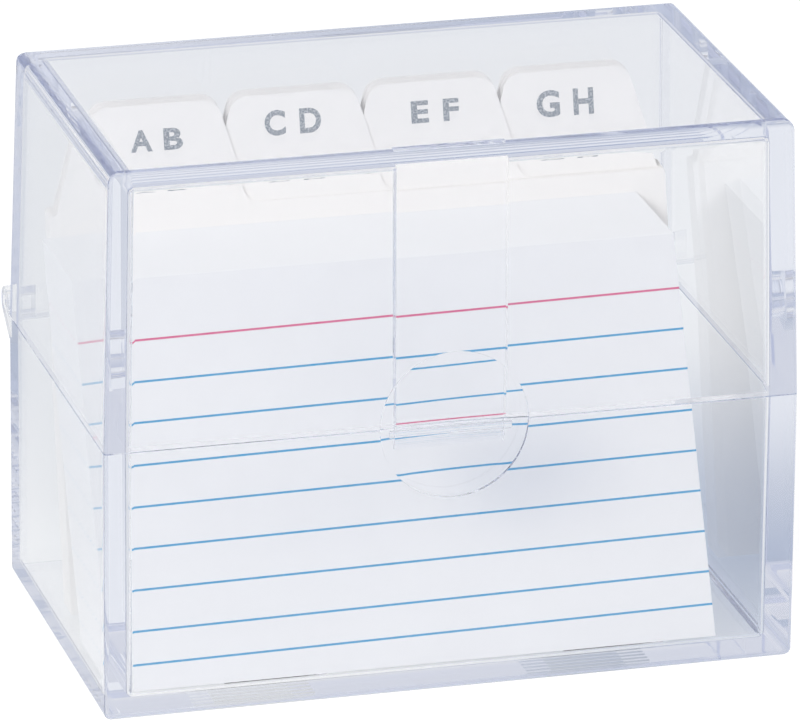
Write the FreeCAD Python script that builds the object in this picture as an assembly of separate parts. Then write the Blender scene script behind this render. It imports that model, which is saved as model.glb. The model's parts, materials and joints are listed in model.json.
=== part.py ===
import FreeCAD, Part
import math
import os

# Small clear card index box: a tray, a hinged lid of the same plan, a stack of ruled cards
# and twelve tabbed dividers. Millimetres. X to the right, Y to the back, Z up.
# The origin is the middle of the flat underside of the tray.

# Cards
card_width = 74.0
card_height = 50.0
card_thickness = 0.135
card_left_gap = 1.1
card_right_gap = 6.1
packet_count = 11
cards_per_packet = 8

# Dividers
divider_height = 49.6
divider_thickness = 0.17
divider_side_gap = 2.1
divider_corner_radius = 0.5
divider_headroom = 3.75
tab_height = 11.4
tab_top_width = 15.7
tab_side_margin = 4.0
tab_flank_run = 3.2
tab_top_radius = 2.5
tab_foot_radius = 2.0
tabs_per_row = 4
divider_letters = ["ab", "cd", "ef", "gh", "ij", "kl", "mn", "op", "qr", "st", "uv", "wz"]

# How the sheets stand
sheet_seat_clearance = 0.05
sheet_air = 0.03
front_foot_gap = 1.0
rear_top_gap = 2.25
rear_lean_degrees = 12.5
divider_foot_pitch = 0.37
steepest_lean_degrees = 60.0
lean_search_steps = 40

# Box
box_depth = 51.2
seam_height = 34.6
rim_gap = 0.15
side_wall = 3.0
face_wall = 2.4
floor_thickness = 2.25
ceiling_thickness = 2.3
lid_outer_draft_degrees = 1.48
lid_inner_draft_degrees = 1.0

# Roundings of the moulded shells
lid_top_radius = 1.4
tray_bottom_radius = 1.1
outer_corner_radius = 0.5
inner_corner_radius = 1.0
inner_edge_radius = 0.8

# Anti-slip ridges on the tray floor
ridge_height = 0.35
ridge_base = 0.9
ridge_pitch = 1.7
ridge_strip_width = 12.8
ridge_strip_offset = 21.5
ridge_end_margin = 1.2

# Thumb dish across the seam
dish_radius = 9.35
dish_depth = 1.0
dish_rim_depth = 0.4

# Snap tongue on the lid
tongue_width = 14.0
tongue_thickness = 1.5
tongue_reach = 3.7
tongue_clearance = 0.7
tongue_lead_in = 0.3
snap_bead_radius = 0.45
snap_bead_height = 0.25
snap_bead_drop = 2.6
snap_ridge_radius = 0.6
snap_ridge_drop = 1.2
snap_ridge_side_margin = 0.8
snap_play = 0.07

# Hinge
hinge_radius = 2.0
hinge_wall_offset = 2.3
hinge_rise = 1.0
ear_thickness = 2.0
ear_foot_drop = 3.0
ear_gap = 0.15
knuckle_width = 3.3
knuckle_arm_rise = 3.0
pin_radius = 0.9
pin_clearance = 0.06
pin_end_clearance = 0.2

# Cuts run past the faces that they cut by this much, and welded roots reach in as deep
overrun = 1.0
root_depth = 0.6
level_tolerance = 0.01

# Places that several pieces share
origin = FreeCAD.Vector(0, 0, 0)
along_x = FreeCAD.Vector(1, 0, 0)
along_y = FreeCAD.Vector(0, 1, 0)
seat_height = floor_thickness + ridge_height + sheet_seat_clearance
box_width = card_left_gap + card_width + card_right_gap + 2 * side_wall
box_height = seat_height + divider_height + tab_height + divider_headroom + ceiling_thickness
half_width = box_width / 2
half_depth = box_depth / 2
inner_half_width = half_width - side_wall
inner_half_depth = half_depth - face_wall
rim_height = seam_height + rim_gap
hinge_y = half_depth + hinge_wall_offset
hinge_z = seam_height + hinge_rise
divider_width = 2 * (inner_half_width - divider_side_gap)
tab_pitch = (divider_width - 2 * tab_side_margin - tab_top_width) / (tabs_per_row - 1)


def drafted_block(width, depth, bottom, top, draft_degrees):
    """Block centred on the Z axis whose four sides lean inwards as they rise."""
    inset = (top - bottom) * math.tan(math.radians(draft_degrees))
    block = Part.makeWedge(
        -width / 2, bottom, -depth / 2, inset - depth / 2, inset - width / 2,
        width / 2, top, depth / 2, depth / 2 - inset, width / 2 - inset,
    )
    block.rotate(origin, along_x, 90)
    return block


def edges_at_height(shape, height):
    """Edges that lie flat at one height."""
    return [
        edge for edge in shape.Edges
        if abs(edge.BoundBox.ZMin - height) < level_tolerance
        and abs(edge.BoundBox.ZMax - height) < level_tolerance
    ]


def upright_edges(shape):
    """Edges that run up the corners of a block."""
    rise = shape.BoundBox.ZLength / 2
    return [edge for edge in shape.Edges if edge.BoundBox.ZLength > rise]


def extruded_outline(edges, x_start, length):
    """Solid made by pushing a closed outline in the YZ plane along X."""
    face = Part.Face(Part.Wire(edges))
    face.translate(along_x * x_start)
    return face.extrude(along_x * length)


def polygon_edges(points):
    """Straight edges from each point to the next, without the closing one."""
    return [Part.makeLine(start, end) for start, end in zip(points, points[1:])]


def cylinder_along_x(radius, x_start, length, y, z):
    return Part.makeCylinder(radius, length, FreeCAD.Vector(x_start, y, z), along_x)


def thumb_dish():
    """Round hollow with a steep rim and a shallow domed bottom, centred on the seam."""
    dome_depth = dish_depth - dish_rim_depth
    dome_radius = (dish_radius ** 2 + dome_depth ** 2) / (2 * dome_depth)
    dome_y = -half_depth + dish_depth - dome_radius
    dome = Part.makeSphere(dome_radius, FreeCAD.Vector(0, dome_y, seam_height))
    rim_start = FreeCAD.Vector(0, -half_depth - overrun, seam_height)
    rim = Part.makeCylinder(dish_radius, dish_depth + 2 * overrun, rim_start, along_y)
    return dome.common(rim)


def tongue_bead_centre():
    """Y and Z of the round bead that runs across the tongue."""
    outer_face_y = -inner_half_depth + tongue_clearance
    return outer_face_y - snap_bead_height + snap_bead_radius, seam_height - snap_bead_drop


def snap_ridge():
    """Round ridge inside the tray's front wall that the bead snaps past."""
    bead_y, bead_z = tongue_bead_centre()
    bead_reach = math.hypot(hinge_y - bead_y, hinge_z - bead_z) + snap_bead_radius
    ridge_z = seam_height - snap_ridge_drop
    centre_distance = bead_reach + snap_play + snap_ridge_radius
    ridge_y = hinge_y - math.sqrt(centre_distance ** 2 - (hinge_z - ridge_z) ** 2)
    length = tongue_width + 2 * snap_ridge_side_margin
    return cylinder_along_x(snap_ridge_radius, -length / 2, length, ridge_y, ridge_z)


def floor_ridges():
    """Two strips of fine ridges across the floor, which stop the sheets' feet from sliding."""
    run = 2 * (inner_half_depth - ridge_end_margin)
    count = int(run / ridge_pitch) + 1
    first_y = -(count - 1) * ridge_pitch / 2
    ridges = []
    for strip_x in (-ridge_strip_offset, ridge_strip_offset):
        for index in range(count):
            y = first_y + index * ridge_pitch
            points = [
                FreeCAD.Vector(0, y - ridge_base / 2, floor_thickness),
                FreeCAD.Vector(0, y, floor_thickness + ridge_height),
                FreeCAD.Vector(0, y + ridge_base / 2, floor_thickness),
                FreeCAD.Vector(0, y + ridge_base / 2, floor_thickness - root_depth),
                FreeCAD.Vector(0, y - ridge_base / 2, floor_thickness - root_depth),
            ]
            outline = polygon_edges(points + points[:1])
            x_start = strip_x - ridge_strip_width / 2
            ridges.append(extruded_outline(outline, x_start, ridge_strip_width))
    return ridges


def tangent_point(y, z, turn):
    """Where a line from a point (measured from the hinge axis) touches the hinge circle."""
    distance = math.hypot(y, z)
    angle = math.atan2(z, y) + turn * math.acos(hinge_radius / distance)
    return hinge_radius * math.cos(angle), hinge_radius * math.sin(angle)


def hinge_vector(y, z):
    """Point given from the hinge axis."""
    return FreeCAD.Vector(0, hinge_y + y, hinge_z + z)


def hinge_arc(start, end, through_degrees):
    """Arc on the hinge circle between two points, through a given direction."""
    angle = math.radians(through_degrees)
    middle = hinge_vector(hinge_radius * math.cos(angle), hinge_radius * math.sin(angle))
    return Part.Arc(start, middle, end).toShape()


def tray_ear(side):
    """Ear on the tray's rear wall with the bore that takes the lid's pin."""
    foot_z = -hinge_rise - ear_foot_drop
    touch = hinge_vector(*tangent_point(-hinge_wall_offset, foot_z, 1))
    over_top = hinge_vector(-hinge_radius, 0)
    points = [
        over_top,
        hinge_vector(-hinge_radius, -hinge_rise),
        hinge_vector(-hinge_wall_offset - root_depth, -hinge_rise),
        hinge_vector(-hinge_wall_offset - root_depth, foot_z),
        hinge_vector(-hinge_wall_offset, foot_z),
        touch,
    ]
    edges = polygon_edges(points)
    edges.append(hinge_arc(touch, over_top, 45))
    x_start = half_width - ear_thickness if side > 0 else -half_width
    ear = extruded_outline(edges, x_start, ear_thickness)
    bore_start = x_start - overrun
    bore_length = ear_thickness + 2 * overrun
    bore_radius = pin_radius + pin_clearance
    return ear.cut(cylinder_along_x(bore_radius, bore_start, bore_length, hinge_y, hinge_z))


def lid_knuckle(side):
    """Arm behind the lid's rear wall with the pin that turns in the tray's ear."""
    rim_z = rim_height - hinge_z
    rim_y = -math.sqrt(hinge_radius ** 2 - rim_z ** 2)
    touch = hinge_vector(*tangent_point(-hinge_wall_offset, knuckle_arm_rise, -1))
    low_end = hinge_vector(rim_y, rim_z)
    points = [
        low_end,
        hinge_vector(-hinge_wall_offset - root_depth, rim_z),
        hinge_vector(-hinge_wall_offset - root_depth, knuckle_arm_rise),
        hinge_vector(-hinge_wall_offset, knuckle_arm_rise),
        touch,
    ]
    edges = polygon_edges(points)
    edges.append(hinge_arc(touch, low_end, -45))
    outer_x = half_width - ear_thickness - ear_gap
    pin_start = outer_x - root_depth
    pin_length = half_width - pin_end_clearance - pin_start
    if side > 0:
        arm = extruded_outline(edges, outer_x - knuckle_width, knuckle_width)
        pin = cylinder_along_x(pin_radius, pin_start, pin_length, hinge_y, hinge_z)
    else:
        arm = extruded_outline(edges, -outer_x, knuckle_width)
        pin = cylinder_along_x(pin_radius, -pin_start - pin_length, pin_length, hinge_y, hinge_z)
    return arm.fuse(pin)


def base_tray():
    """Open tray: straight walls, ridged floor, snap ridge, thumb dish and two hinge ears."""
    outer = Part.makeBox(
        box_width, box_depth, seam_height, FreeCAD.Vector(-half_width, -half_depth, 0)
    )
    outer = outer.makeFillet(tray_bottom_radius, edges_at_height(outer, 0))
    outer = outer.makeFillet(outer_corner_radius, upright_edges(outer))
    cavity_height = seam_height - floor_thickness + overrun
    cavity = Part.makeBox(
        2 * inner_half_width, 2 * inner_half_depth, cavity_height,
        FreeCAD.Vector(-inner_half_width, -inner_half_depth, floor_thickness),
    )
    cavity = cavity.makeFillet(inner_corner_radius, upright_edges(cavity))
    cavity = cavity.makeFillet(inner_edge_radius, edges_at_height(cavity, floor_thickness))
    tray = outer.cut(cavity)
    tray = tray.fuse(floor_ridges() + [snap_ridge(), tray_ear(-1), tray_ear(1)])
    return tray.cut(thumb_dish()).removeSplitter()


def snap_tongue():
    """Tongue inside the lid's front wall, from the ceiling to below the seam."""
    lean = math.tan(math.radians(lid_inner_draft_degrees))
    top_z = box_height - ceiling_thickness + root_depth
    inset = (top_z - rim_height) * lean
    tip_z = seam_height - tongue_reach
    inner_y = -inner_half_depth + tongue_thickness
    outer_y = -inner_half_depth + tongue_clearance
    points = [
        FreeCAD.Vector(0, -inner_half_depth - root_depth, rim_height),
        FreeCAD.Vector(0, -inner_half_depth - root_depth + inset, top_z),
        FreeCAD.Vector(0, inner_y + inset, top_z),
        FreeCAD.Vector(0, inner_y, rim_height),
        FreeCAD.Vector(0, inner_y, tip_z),
        FreeCAD.Vector(0, outer_y + tongue_lead_in, tip_z),
        FreeCAD.Vector(0, outer_y, tip_z + tongue_lead_in),
        FreeCAD.Vector(0, outer_y, rim_height),
    ]
    edges = polygon_edges(points + points[:1])
    tongue = extruded_outline(edges, -tongue_width / 2, tongue_width)
    bead_y, bead_z = tongue_bead_centre()
    bead = cylinder_along_x(snap_bead_radius, -tongue_width / 2, tongue_width, bead_y, bead_z)
    return tongue.fuse(bead)


def lid():
    """Drafted cover with the snap tongue in front and two pinned knuckles behind."""
    outer = drafted_block(box_width, box_depth, rim_height, box_height, lid_outer_draft_degrees)
    outer = outer.makeFillet(lid_top_radius, edges_at_height(outer, box_height))
    outer = outer.makeFillet(outer_corner_radius, upright_edges(outer))
    flare = overrun * math.tan(math.radians(lid_inner_draft_degrees))
    ceiling_z = box_height - ceiling_thickness
    cavity = drafted_block(
        2 * (inner_half_width + flare), 2 * (inner_half_depth + flare),
        rim_height - overrun, ceiling_z, lid_inner_draft_degrees,
    )
    cavity = cavity.makeFillet(inner_corner_radius, upright_edges(cavity))
    cavity = cavity.makeFillet(inner_edge_radius, edges_at_height(cavity, ceiling_z))
    cover = outer.cut(cavity)
    cover = cover.fuse([snap_tongue(), lid_knuckle(-1), lid_knuckle(1)])
    return cover.cut(thumb_dish()).removeSplitter()


def stand_sheet(sheet, foot_y, lean_degrees, thickness):
    """Lean a sheet back about its foot so that its lowest edge lies on the seat."""
    sheet.rotate(origin, along_x, -lean_degrees)
    lift = thickness * math.sin(math.radians(lean_degrees))
    sheet.translate(FreeCAD.Vector(0, foot_y, seat_height + lift))
    return sheet


def stand_dividers():
    """Foot and lean of every divider from front to back.

    The rear one leans by its own angle, with its top a set gap in front of the lid's rear wall.
    The feet stand at an even pitch, and the top edges close up to a hair's breadth."""
    height = divider_height + tab_height
    lean = math.radians(rear_lean_degrees)
    top_z = seat_height + height * math.cos(lean)
    lid_inset = (top_z - rim_height) * math.tan(math.radians(lid_inner_draft_degrees))
    reach = height * math.sin(lean) + divider_thickness * math.cos(lean)
    places = [(inner_half_depth - lid_inset - rear_top_gap - reach, rear_lean_degrees)]
    for _ in divider_letters[1:]:
        foot_y, lean_degrees = places[0]
        spacing = divider_foot_pitch * math.cos(math.radians(lean_degrees))
        closing = spacing - divider_thickness - sheet_air
        places.insert(0, (foot_y - divider_foot_pitch, lean_degrees + math.degrees(closing / height)))
    return places


def card_feet(lean):
    """Feet of the cards, which stand parallel and a hair's breadth apart at one lean."""
    first_foot = -inner_half_depth + front_foot_gap
    foot_pitch = (card_thickness + sheet_air) / math.cos(lean)
    return [first_foot + index * foot_pitch for index in range(1 + packet_count * cards_per_packet)]


def room_behind_cards(lean, divider_place):
    """Distance from the rear card's top edge to the front face of the first divider."""
    foot_y, lean_degrees = divider_place
    divider_lean = math.radians(lean_degrees)
    top_y = card_feet(lean)[-1] + card_height * math.sin(lean) + card_thickness * math.cos(lean)
    top_rise = card_height * math.cos(lean) - divider_thickness * math.sin(divider_lean)
    return (foot_y - top_y) * math.cos(divider_lean) + top_rise * math.sin(divider_lean)


def stand_cards(divider_place):
    """Foot and lean of every card: the pack leans back until it rests on the first divider."""
    upright = 0.0
    steep = math.radians(steepest_lean_degrees)
    for _ in range(lean_search_steps):
        lean = (upright + steep) / 2
        if room_behind_cards(lean, divider_place) > sheet_air:
            upright = lean
        else:
            steep = lean
    return [(foot_y, math.degrees(upright)) for foot_y in card_feet(upright)]


def card(place):
    """One plain index card, pushed to the left of the tray."""
    card_left = -inner_half_width + card_left_gap
    sheet = Part.makeBox(card_width, card_thickness, card_height, FreeCAD.Vector(card_left, 0, 0))
    return stand_sheet(sheet, place[0], place[1], card_thickness)


def rounded_sheet(corners, thickness):
    """Sheet in the XZ plane from (x, z, radius) corners, with an arc at each rounded corner."""
    count = len(corners)
    ends = []
    for index, (x, z, radius) in enumerate(corners):
        here = FreeCAD.Vector(x, 0, z)
        last_x, last_z, _ = corners[index - 1]
        next_x, next_z, _ = corners[(index + 1) % count]
        before = FreeCAD.Vector(last_x, 0, last_z) - here
        after = FreeCAD.Vector(next_x, 0, next_z) - here
        before.normalize()
        after.normalize()
        half_angle = before.getAngle(after) / 2
        setback = radius / math.tan(half_angle)
        bisector = before + after
        bisector.normalize()
        middle = here + bisector * (radius / math.sin(half_angle) - radius)
        ends.append((here + before * setback, middle, here + after * setback, radius > 0))
    edges = []
    for index, (start, middle, end, is_round) in enumerate(ends):
        if is_round:
            edges.append(Part.Arc(start, middle, end).toShape())
        edges.append(Part.makeLine(end, ends[(index + 1) % count][0]))
    face = Part.Face(Part.Wire(edges))
    return face.extrude(along_y * thickness)


def tab_foot(shoulder_length):
    """Radius at the foot of a tab, smaller where the shoulder beside it is short."""
    return min(tab_foot_radius, shoulder_length - divider_corner_radius)


def divider(position, place):
    """Divider sheet with a rounded index tab in one of the staggered positions."""
    left = -divider_width / 2
    right = divider_width / 2
    top = divider_height + tab_height
    tab_left = left + tab_side_margin + position * tab_pitch
    tab_right = tab_left + tab_top_width
    foot_left = tab_left - tab_flank_run
    foot_right = tab_right + tab_flank_run
    corners = [
        (right, 0, 0),
        (left, 0, 0),
        (left, divider_height, divider_corner_radius),
        (foot_left, divider_height, tab_foot(foot_left - left)),
        (tab_left, top, tab_top_radius),
        (tab_right, top, tab_top_radius),
        (foot_right, divider_height, tab_foot(right - foot_right)),
        (right, divider_height, divider_corner_radius),
    ]
    return stand_sheet(rounded_sheet(corners, divider_thickness), *place, divider_thickness)


def save(name, shape):
    shape.exportStep(os.path.join("parts", name + ".step"))


os.makedirs("parts", exist_ok=True)
save("base_tray", base_tray())
save("lid", lid())
divider_places = stand_dividers()
card_places = stand_cards(divider_places[0])
save("front_card", card(card_places[0]))
for packet in range(packet_count):
    first = 1 + packet * cards_per_packet
    packet_cards = [card(place) for place in card_places[first:first + cards_per_packet]]
    save(f"card_packet_{packet + 1:02d}", Part.makeCompound(packet_cards))
for index, letters in enumerate(divider_letters):
    save(f"divider_{letters}", divider(index % tabs_per_row, divider_places[index]))
print("front card foot and lean", card_places[0])
print("rear card foot and lean", card_places[-1])
print("first divider foot and lean", divider_places[0])
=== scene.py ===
import json
import math

import bpy
from mathutils import Matrix, Vector

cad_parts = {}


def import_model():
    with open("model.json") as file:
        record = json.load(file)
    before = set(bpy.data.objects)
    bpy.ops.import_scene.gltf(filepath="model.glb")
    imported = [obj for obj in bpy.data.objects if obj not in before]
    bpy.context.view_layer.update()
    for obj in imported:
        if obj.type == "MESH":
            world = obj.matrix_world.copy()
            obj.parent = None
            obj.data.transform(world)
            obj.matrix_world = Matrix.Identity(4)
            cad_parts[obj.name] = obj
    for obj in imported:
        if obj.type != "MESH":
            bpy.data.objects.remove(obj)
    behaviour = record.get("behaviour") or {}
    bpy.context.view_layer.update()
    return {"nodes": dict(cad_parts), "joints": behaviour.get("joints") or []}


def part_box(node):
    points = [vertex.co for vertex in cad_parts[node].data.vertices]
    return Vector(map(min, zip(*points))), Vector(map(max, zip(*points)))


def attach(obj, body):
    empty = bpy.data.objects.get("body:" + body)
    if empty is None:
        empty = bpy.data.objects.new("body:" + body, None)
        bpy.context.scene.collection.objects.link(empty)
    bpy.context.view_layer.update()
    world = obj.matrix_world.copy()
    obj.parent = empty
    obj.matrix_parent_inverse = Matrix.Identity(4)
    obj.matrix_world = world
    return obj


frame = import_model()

mm = 0.001

# Camera, set to the photograph's view
camera_yaw = math.radians(15.498)
camera_pitch = math.radians(20.151)
camera_roll = math.radians(0.493)
camera_distance = 1046.4 * mm
camera_target = Vector((0.15 * mm, 0, 33.5 * mm))
camera_lens = 380.3
camera_sensor = 36.0
camera_reach = 20.0

# Ruling on the cards, as heights above the card's foot in millimetres, printed a little askew
blue_lines = [3.6, 7.65, 12.65, 17.7, 22.7, 27.75, 32.8, 37.75]
red_lines = [42.8]
ruling_slope = 0.0115
line_width = 0.265 * mm

# Foil letters on the divider tabs
# Every tab position has the middle between its letters, their gap, height and centre height
tab_lettering = [
    (-26.7 * mm, 1.45 * mm, 2.65 * mm, 56.4 * mm),
    (-9.25 * mm, 1.60 * mm, 3.05 * mm, 57.2 * mm),
    (9.25 * mm, 1.70 * mm, 2.75 * mm, 57.05 * mm),
    (26.4 * mm, 1.45 * mm, 3.25 * mm, 56.65 * mm),
]
letter_stretch = {"B": 1.25, "C": 0.94, "D": 0.95, "E": 1.3, "F": 1.25, "G": 0.98, "H": 0.92}
foil_thickness = 0.012 * mm
capital_share = 0.73
stroke_widening = 0.045

# Colours, as linear values
white = (1, 1, 1, 1)
paper_white = (0.85, 0.845, 0.852, 1)
paper_shade = (0.815, 0.81, 0.82, 1)
# Painted light: a brighter colour for the cards' cut edges and top strips, which lifts the shade
# between the cards
painted_light_on_cuts = (0.89, 0.885, 0.885, 1)
blue_ink = (0.035, 0.325, 0.60, 1)
red_ink = (0.66, 0.10, 0.24, 1)
divider_white = (0.955, 0.928, 0.900, 1)
divider_shade = (0.935, 0.908, 0.880, 1)
foil_dark = (0.11, 0.15, 0.19, 1)
foil_light = (0.50, 0.54, 0.60, 1)
plastic_tint = (0.985, 0.99, 1.0, 1)
plastic_depth_tint = (0.55, 0.62, 0.86, 1)
light_through_plastic = (0.975, 0.98, 0.985, 1)
light_through_dish = (0.80, 0.83, 0.88, 1)
floor_white = (0.88, 0.88, 0.88, 1)
floor_through_plastic = (0.94, 0.95, 0.955, 1)
# Painted shade on the floor that the plastic shows: dim in front and at the left, with a painted
# shadow beside the box
floor_painted_shade_front = (0.58, 0.61, 0.68, 1)
floor_painted_shade_left = (0.68, 0.71, 0.76, 1)
floor_painted_shadow = (0.36, 0.44, 0.60, 1)
studio_low = (0.66, 0.70, 0.82, 1)
studio_high = (0.97, 0.97, 0.98, 1)

# Noise grains, as repeats per metre and detail, and bumps, as depth and strength
wave_grain = (45.0, 1.0)
wave_bump = (0.02 * mm, 0.35)
cloud_grain = (160.0, 4.0)
fibre_grain = (3500.0, 3.0)
fibre_bump = (0.02 * mm, 0.25)
ink_grain = (900.0, 2.0)
blotch_grain = (4200.0, 4.0)

# Values that follow a noise, as the least and how much the noise adds
paper_roughness = (0.6, 0.2)
ink_cover = (0.86, 0.2)
foil_roughness = (0.25, 0.4)

# Paper and foil
# A surface is on a sheet's front face where the cosine between their normals is over face_limit
paper_gloss = 0.25
# Depth of the strip at the top of each card that gets the painted light
painted_strip_depth = 0.075 * mm
face_limit = 0.5
foil_metal = 0.4
foil_blotch_range = (0.46, 0.62)

# Plastic, and the thumb dish in it, which spreads the light
plastic_refraction = 1.59
plastic_depth_density = 5.0
dish_centre = Vector((0, -24.5 * mm, 34.85 * mm))
dish_shade_rise = (7 * mm, 10.5 * mm)

# Floor
floor_half_size = 3.0
floor_drop = 0.05 * mm
direct_glow = 1.25
mirrored_glow = 1.0
direct_glow_share = 0.62
mirrored_glow_share = 0.75
# Where the floor's painted shade and painted shadow rise and fade
left_rise = (-62 * mm, -42 * mm)
front_rise = (-100 * mm, -25 * mm)
shade_centre = Vector((57 * mm, 16 * mm, 0))
shade_rise = (0.0, 85 * mm)

# Light: the studio around the box, which brightens with height, and the lamps
# Every lamp has its name, place, size and power
studio_rise = (0.0, 0.6)
studio_strength = 0.55
mirrored_studio_strength = 0.87
backdrop_strength = 1.0
lamps = [
    ("key_lamp", (-0.95, -0.75, 0.85), 0.55, 12.2),
    ("fill_lamp", (0.9, -0.3, 0.7), 0.8, 3.0),
    ("left_lamp", (-1.1, 0.1, 0.5), 0.8, 2.5),
]
light_bounces = 128


def new_material(name):
    """Empty node material with its output, as (material, nodes, links, output)."""
    material = bpy.data.materials.new(name)
    material.use_nodes = True
    nodes = material.node_tree.nodes
    nodes.clear()
    return material, nodes, material.node_tree.links, nodes.new("ShaderNodeOutputMaterial")


def feed(links, value, socket):
    """Gives a socket its value, which is another node's output or a plain value."""
    if isinstance(value, bpy.types.NodeSocket):
        links.new(value, socket)
    else:
        socket.default_value = value


def math_node(nodes, links, operation, *values):
    """Number worked out from sockets or plain numbers."""
    node = nodes.new("ShaderNodeMath")
    node.operation = operation
    for socket, value in zip(node.inputs, values):
        feed(links, value, socket)
    return node.outputs[0]


def varied(nodes, links, value, least, added):
    """Number that rises with a value between 0 and 1."""
    return math_node(nodes, links, "MULTIPLY_ADD", value, added, least)


def vector_value(nodes, links, operation, first, second):
    """Number from a vector socket and a plain vector, such as their distance or dot product."""
    node = nodes.new("ShaderNodeVectorMath")
    node.operation = operation
    links.new(first, node.inputs[0])
    node.inputs[1].default_value = second
    return node.outputs["Value"]


def eased(nodes, links, value, start, end):
    """0 below the start and 1 above the end, with a smooth rise between them."""
    rise = nodes.new("ShaderNodeMapRange")
    rise.interpolation_type = "SMOOTHSTEP"
    rise.inputs["From Min"].default_value = start
    rise.inputs["From Max"].default_value = end
    links.new(value, rise.inputs["Value"])
    return rise.outputs[0]


def noise(nodes, links, coordinates, scale, detail):
    """Noise value between 0 and 1 at a scale given in repeats per metre."""
    node = nodes.new("ShaderNodeTexNoise")
    node.inputs["Scale"].default_value = scale
    node.inputs["Detail"].default_value = detail
    links.new(coordinates, node.inputs["Vector"])
    return node.outputs[0]


def mixed_colour(nodes, links, factor, first, second):
    """Colour between two, each a socket or a plain colour."""
    node = nodes.new("ShaderNodeMix")
    node.data_type = "RGBA"
    links.new(factor, node.inputs["Factor"])
    colours = [socket for socket in node.inputs if socket.type == "RGBA"]
    for socket, value in zip(colours, (first, second)):
        feed(links, value, socket)
    return next(socket for socket in node.outputs if socket.type == "RGBA")


def colour_ramp(nodes, links, value, rise, first, second):
    """Colour that goes from the first to the second as the value crosses the rise."""
    ramp = nodes.new("ShaderNodeValToRGB")
    for element, position, colour in zip(ramp.color_ramp.elements, rise, (first, second)):
        element.position = position
        element.color = colour
    links.new(value, ramp.inputs[0])
    return ramp.outputs[0]


def bumped(nodes, links, shader, height, distance, strength):
    """Gives a shader a bump from a height value, with its distance in metres."""
    bump = nodes.new("ShaderNodeBump")
    bump.inputs["Strength"].default_value = strength
    bump.inputs["Distance"].default_value = distance
    links.new(height, bump.inputs["Height"])
    links.new(bump.outputs[0], shader.inputs["Normal"])


def glowing(nodes, links, kind, colour, strength):
    """Emission or Background shader with a colour that is a socket or a plain colour."""
    glow = nodes.new(kind)
    feed(links, colour, glow.inputs["Color"])
    glow.inputs["Strength"].default_value = strength
    return glow.outputs[0]


def mixed_shader(nodes, links, factor, first, second):
    """Shader between two, such as one for a kind of ray and one for all others."""
    mix = nodes.new("ShaderNodeMixShader")
    for value, socket in zip((factor, first, second), mix.inputs):
        links.new(value, socket)
    return mix.outputs[0]


def clear_plastic():
    """Moulded clear polystyrene: bluish where one looks along a wall, with faint flow waves.

    The curved thumb dish spreads the light and so lets less of it fall on the cards behind.
    """
    material, nodes, links, output = new_material("clear_plastic")
    place = nodes.new("ShaderNodeTexCoord").outputs["Object"]
    plastic = nodes.new("ShaderNodeBsdfPrincipled")
    plastic.inputs["Base Color"].default_value = plastic_tint
    plastic.inputs["Roughness"].default_value = 0.0
    plastic.inputs["IOR"].default_value = plastic_refraction
    plastic.inputs["Transmission Weight"].default_value = 1.0
    waves = noise(nodes, links, place, *wave_grain)
    bumped(nodes, links, plastic, waves, *wave_bump)
    open_to_light = nodes.new("ShaderNodeBsdfTransparent")
    from_dish = vector_value(nodes, links, "DISTANCE", place, dish_centre)
    beside_dish = eased(nodes, links, from_dish, *dish_shade_rise)
    light = mixed_colour(nodes, links, beside_dish, light_through_dish, light_through_plastic)
    links.new(light, open_to_light.inputs["Color"])
    path = nodes.new("ShaderNodeLightPath").outputs
    surface = plastic.outputs[0]
    for ray in ("Is Shadow Ray", "Is Diffuse Ray"):
        surface = mixed_shader(nodes, links, path[ray], surface, open_to_light.outputs[0])
    links.new(surface, output.inputs["Surface"])
    depth = nodes.new("ShaderNodeVolumeAbsorption")
    depth.inputs["Color"].default_value = plastic_depth_tint
    depth.inputs["Density"].default_value = plastic_depth_density
    links.new(depth.outputs[0], output.inputs["Volume"])
    return material


def sheet_face(node_name):
    """Foot, upward direction and outward normal of a sheet's front face."""
    joint = next(joint for joint in frame["joints"] if joint["child"] == node_name)
    foot = Vector(joint["pos_m"])
    low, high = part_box(node_name)
    middle_height = (low.z + high.z) / 2
    upper = [v.co for v in frame["nodes"][node_name].data.vertices if v.co.z > middle_height]
    front = min(upper, key=lambda place: place.y)
    along = Vector((0, front.y - foot.y, front.z - foot.z)).normalized()
    return foot, along, Vector((0, -along.z, along.y))


def paper_shader(nodes, links, place, light, shade):
    """Matt card with a faint cloudy tone and fine fibres; returns the shader and its colour."""
    clouds = noise(nodes, links, place, *cloud_grain)
    colour = mixed_colour(nodes, links, clouds, light, shade)
    paper = nodes.new("ShaderNodeBsdfPrincipled")
    paper.inputs["Specular IOR Level"].default_value = paper_gloss
    fibres = noise(nodes, links, place, *fibre_grain)
    links.new(varied(nodes, links, fibres, *paper_roughness), paper.inputs["Roughness"])
    bumped(nodes, links, paper, fibres, *fibre_bump)
    return paper, colour


def inked(nodes, links, colour, height, lines, cover, ink_colour):
    """Colour with printed lines on it, which let a little of the paper show."""
    total = 0.0
    for line in lines:
        hit = math_node(nodes, links, "COMPARE", height, line * mm, line_width / 2)
        total = math_node(nodes, links, "ADD", hit, total)
    covered = math_node(nodes, links, "MULTIPLY", total, cover)
    return mixed_colour(nodes, links, covered, colour, ink_colour)


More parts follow.
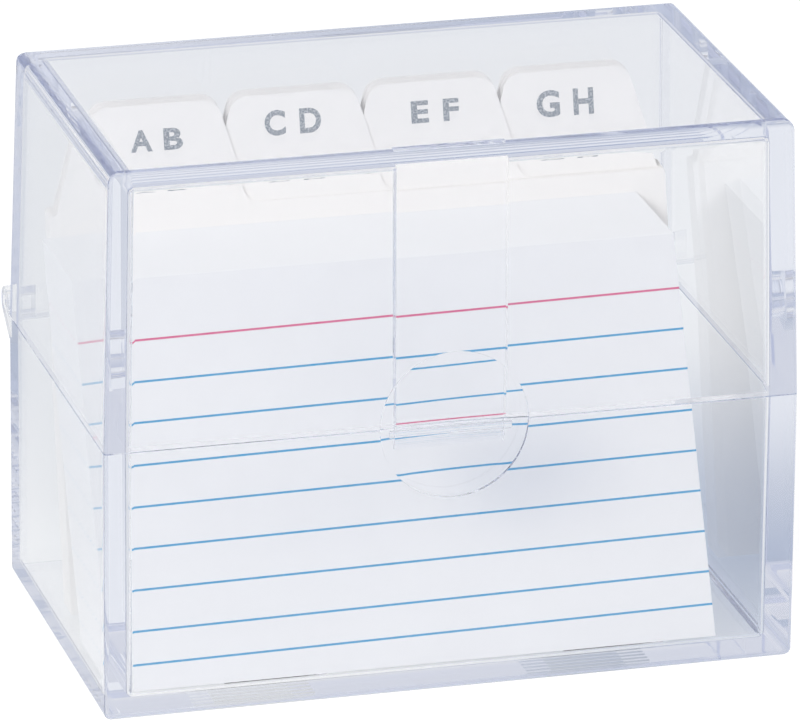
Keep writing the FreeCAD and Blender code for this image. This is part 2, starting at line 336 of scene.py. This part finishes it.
def ruled_card(node_name):
    """White card, ruled in blue with a red head line on the face that looks forward.

    Its cut edges and the strip of each card that shows at the top of the pack are painted a little
    brighter: painted light that lifts the shade between the packed cards.
    """
    foot, along, normal = sheet_face(node_name)
    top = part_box(node_name)[1].z
    material, nodes, links, output = new_material("ruled_" + node_name)
    coordinates = nodes.new("ShaderNodeTexCoord").outputs
    place = coordinates["Object"]
    across_lines = along - Vector((ruling_slope, 0, 0))
    height = vector_value(nodes, links, "DOT_PRODUCT", place, across_lines)
    height = math_node(nodes, links, "SUBTRACT", height, foot.dot(along))
    facing = vector_value(nodes, links, "DOT_PRODUCT", coordinates["Normal"], normal)
    on_face = math_node(nodes, links, "GREATER_THAN", facing, face_limit)
    on_edge = math_node(nodes, links, "COMPARE", facing, 0.0, face_limit)
    level = vector_value(nodes, links, "DOT_PRODUCT", place, Vector((0, 0, 1)))
    at_top = math_node(nodes, links, "GREATER_THAN", level, top - painted_strip_depth)
    painted_light_mask = math_node(nodes, links, "MAXIMUM", on_edge, at_top)
    patches = noise(nodes, links, place, *ink_grain)
    cover = varied(nodes, links, patches, *ink_cover)
    cover = math_node(nodes, links, "MULTIPLY", cover, on_face)
    paper, colour = paper_shader(nodes, links, place, paper_white, paper_shade)
    # Painted light: the cut edges and the top strip get the brighter colour
    colour = mixed_colour(nodes, links, painted_light_mask, colour, painted_light_on_cuts)
    colour = inked(nodes, links, colour, height, blue_lines, cover, blue_ink)
    colour = inked(nodes, links, colour, height, red_lines, cover, red_ink)
    links.new(colour, paper.inputs["Base Color"])
    links.new(paper.outputs[0], output.inputs["Surface"])
    return material


def divider_card():
    """Creamy white divider sheet."""
    material, nodes, links, output = new_material("divider_card")
    place = nodes.new("ShaderNodeTexCoord").outputs["Object"]
    paper, colour = paper_shader(nodes, links, place, divider_white, divider_shade)
    links.new(colour, paper.inputs["Base Color"])
    links.new(paper.outputs[0], output.inputs["Surface"])
    return material


def silver_foil():
    """Hot-stamped silver foil, blotchy where it took badly."""
    material, nodes, links, output = new_material("silver_foil")
    place = nodes.new("ShaderNodeTexCoord").outputs["Object"]
    blotches = noise(nodes, links, place, *blotch_grain)
    colour = colour_ramp(nodes, links, blotches, foil_blotch_range, foil_dark, foil_light)
    foil = nodes.new("ShaderNodeBsdfPrincipled")
    foil.inputs["Metallic"].default_value = foil_metal
    links.new(colour, foil.inputs["Base Color"])
    links.new(varied(nodes, links, blotches, *foil_roughness), foil.inputs["Roughness"])
    links.new(foil.outputs[0], output.inputs["Surface"])
    return material


def dress(node_name, material):
    """Gives a CAD node its material."""
    mesh = frame["nodes"][node_name].data
    mesh.materials.clear()
    mesh.materials.append(material)


def foil_letter(character, side, divider_name, lettering, material):
    """One letter stamped on the front of a divider's tab, left (-1) or right (1) of its middle."""
    middle_x, gap, height, centre_height = lettering
    foot, along, normal = sheet_face(divider_name)
    curve = bpy.data.curves.new(f"letter_{character}", "FONT")
    curve.body = character
    curve.size = height / capital_share
    curve.align_x = "RIGHT" if side < 0 else "LEFT"
    curve.align_y = "CENTER"
    curve.extrude = foil_thickness / 2
    curve.offset = stroke_widening * height
    letter = bpy.data.objects.new(f"foil_letter_{character}", curve)
    bpy.context.scene.collection.objects.link(letter)
    centre = foot + along * centre_height + normal * foil_thickness
    centre.x = middle_x + side * gap / 2
    turn = Matrix((Vector((1, 0, 0)), along, normal)).transposed().to_4x4()
    stretch = Matrix.Diagonal((letter_stretch.get(character, 1.0), 1, 1, 1))
    letter.matrix_world = Matrix.Translation(centre) @ turn @ stretch
    curve.materials.append(material)
    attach(letter, divider_name)


def camera():
    """Camera at the photograph's place, looking down at the box from the front left."""
    forward = Vector((
        math.sin(camera_yaw) * math.cos(camera_pitch),
        math.cos(camera_yaw) * math.cos(camera_pitch),
        -math.sin(camera_pitch),
    ))
    level_right = Vector((math.cos(camera_yaw), -math.sin(camera_yaw), 0))
    level_up = level_right.cross(forward)
    right = level_right * math.cos(camera_roll) + level_up * math.sin(camera_roll)
    up = level_up * math.cos(camera_roll) - level_right * math.sin(camera_roll)
    data = bpy.data.cameras.new("camera")
    data.lens = camera_lens
    data.sensor_width = camera_sensor
    data.sensor_fit = "HORIZONTAL"
    data.clip_end = camera_reach
    eye = bpy.data.objects.new("camera", data)
    bpy.context.scene.collection.objects.link(eye)
    turn = Matrix((right, up, -forward)).transposed().to_4x4()
    eye.matrix_world = Matrix.Translation(camera_target - forward * camera_distance) @ turn
    bpy.context.scene.camera = eye


def floor_painted_shade(nodes, links):
    """Floor colour that the plastic shows.

    Its colour is painted shade: dim in front and to the left, with a painted shadow beside the
    box.
    """
    place = nodes.new("ShaderNodeTexCoord").outputs["Object"]
    parts = nodes.new("ShaderNodeSeparateXYZ")
    links.new(place, parts.inputs[0])
    beside = eased(nodes, links, parts.outputs["X"], *left_rise)
    colour = mixed_colour(nodes, links, beside, floor_painted_shade_left, floor_through_plastic)
    behind = eased(nodes, links, parts.outputs["Y"], *front_rise)
    colour = mixed_colour(nodes, links, behind, floor_painted_shade_front, colour)
    from_shade = vector_value(nodes, links, "DISTANCE", place, shade_centre)
    lit = eased(nodes, links, from_shade, *shade_rise)
    return mixed_colour(nodes, links, lit, floor_painted_shadow, colour)


def floor():
    """Wide pale floor that keeps a soft shadow."""
    mesh = bpy.data.meshes.new("floor")
    signs = [(-1, -1), (1, -1), (1, 1), (-1, 1)]
    corners = [(floor_half_size * x, floor_half_size * y, 0) for x, y in signs]
    mesh.from_pydata(corners, [], [(0, 1, 2, 3)])
    plane = bpy.data.objects.new("floor", mesh)
    plane.location.z = -floor_drop
    bpy.context.scene.collection.objects.link(plane)
    material, nodes, links, output = new_material("floor")
    matt = nodes.new("ShaderNodeBsdfDiffuse")
    matt.inputs["Color"].default_value = floor_white
    surface = matt.outputs[0]
    direct = glowing(nodes, links, "ShaderNodeEmission", white, direct_glow)
    # Painted shade: for glossy rays the floor glows in its painted shade and painted shadow
    # colours
    painted_floor_colour = floor_painted_shade(nodes, links)
    mirrored = glowing(nodes, links, "ShaderNodeEmission", painted_floor_colour, mirrored_glow)
    path = nodes.new("ShaderNodeLightPath").outputs
    for ray, glow, share in (
        ("Is Camera Ray", direct, direct_glow_share),
        ("Is Glossy Ray", mirrored, mirrored_glow_share),
    ):
        factor = math_node(nodes, links, "MULTIPLY", path[ray], share)
        surface = mixed_shader(nodes, links, factor, surface, glow)
    links.new(surface, output.inputs["Surface"])
    mesh.materials.append(material)


def world():
    """White backdrop for the camera.

    The studio that lights the box is a little darker and bluer towards the horizon, and brighter
    where the plastic shows it.
    """
    light = bpy.data.worlds.new("studio")
    light.use_nodes = True
    nodes = light.node_tree.nodes
    links = light.node_tree.links
    nodes.clear()
    output = nodes.new("ShaderNodeOutputWorld")
    direction = nodes.new("ShaderNodeTexCoord").outputs["Generated"]
    parts = nodes.new("ShaderNodeSeparateXYZ")
    links.new(direction, parts.inputs[0])
    colour = colour_ramp(nodes, links, parts.outputs["Z"], studio_rise, studio_low, studio_high)
    kind = "ShaderNodeBackground"
    studio = glowing(nodes, links, kind, colour, studio_strength)
    mirrored = glowing(nodes, links, kind, colour, mirrored_studio_strength)
    backdrop = glowing(nodes, links, kind, white, backdrop_strength)
    path = nodes.new("ShaderNodeLightPath").outputs
    surface = mixed_shader(nodes, links, path["Is Glossy Ray"], studio, mirrored)
    surface = mixed_shader(nodes, links, path["Is Camera Ray"], surface, backdrop)
    links.new(surface, output.inputs["Surface"])
    bpy.context.scene.world = light


def lamp(name, place, size, power):
    """Large soft lamp that looks at the box and doesn't show in the plastic."""
    data = bpy.data.lights.new(name, "AREA")
    data.shape = "SQUARE"
    data.size = size
    data.energy = power
    source = bpy.data.objects.new(name, data)
    source.location = place
    aim = camera_target - Vector(place)
    source.rotation_euler = aim.to_track_quat("-Z", "Y").to_euler()
    source.visible_glossy = False
    source.visible_transmission = False
    bpy.context.scene.collection.objects.link(source)


plastic = clear_plastic()
for moulding in ("base_tray", "lid"):
    dress(moulding, plastic)

sheets = [name for name in frame["nodes"] if name.startswith(("front_card", "card_packet"))]
for sheet in sheets:
    dress(sheet, ruled_card(sheet))

paper = divider_card()
foil = silver_foil()
dividers = sorted(name for name in frame["nodes"] if name.startswith("divider_"))
for position, divider in enumerate(dividers):
    dress(divider, paper)
    lettering = tab_lettering[position % len(tab_lettering)]
    first, second = divider[-2:].upper()
    foil_letter(first, -1, divider, lettering, foil)
    foil_letter(second, 1, divider, lettering, foil)

camera()
floor()
world()
for name, place, size, power in lamps:
    lamp(name, place, size, power)
bpy.context.scene.view_settings.view_transform = "Standard"
bpy.context.scene.cycles.max_bounces = light_bounces
bpy.context.scene.cycles.transmission_bounces = light_bounces
bpy.context.scene.cycles.glossy_bounces = light_bounces
